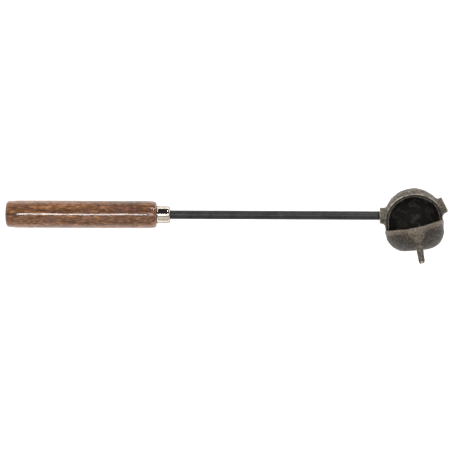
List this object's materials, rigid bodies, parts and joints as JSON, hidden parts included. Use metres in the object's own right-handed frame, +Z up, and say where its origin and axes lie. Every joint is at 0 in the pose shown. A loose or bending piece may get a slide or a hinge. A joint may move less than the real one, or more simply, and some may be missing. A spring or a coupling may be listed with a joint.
{
  "type": "casting ladle",
  "caption": "Metal-casting ladle: hooded cast-iron bowl with a pouring spout and tapped bosses, screwed to a steel rod with a turned wooden handle.",
  "frame": {"origin": "centre of the flat butt face of the handle, with the ladle lying at rest on a bench", "axes": "+X up the tool from the butt to the bowl; +Z up out of the bowl's mouth; the spout points towards -Y. The rod rises 2.22 degrees towards +X, because the bowl is fatter than the handle."},
  "size_m": [0.3187, 0.0544, 0.0429],
  "materials": {
    "cast_bowl": "fine sand-cast grain, grey, darker inside",
    "blackened_rod": "satin black oxide",
    "plated_ferrule": "bright nickel plate",
    "varnished_wood": "walnut-brown hardwood under gloss varnish"
  },
  "bodies": {
    "bowl": {"ladle_head": "cast_bowl"},
    "rod": {"shank": "blackened_rod"},
    "grip": {"ferrule": "plated_ferrule", "handle": "varnished_wood"}
  },
  "joints": [
    {"name": "rod_advance", "type": "slide", "parent": "bowl", "child": "rod", "axis": [-0.9992, 0, -0.0388], "range_m": [0, 0.0063]},
    {"name": "handle_turn", "type": "hinge", "parent": "rod", "child": "grip", "pos_m": [0, 0, 0], "axis": [-0.9992, 0, -0.0388], "range_deg": [0, 1620]}
  ],
  "couplings": [
    {"joint": "rod_advance", "follows": "handle_turn", "m_per_rad": 0.00020213}
  ]
}
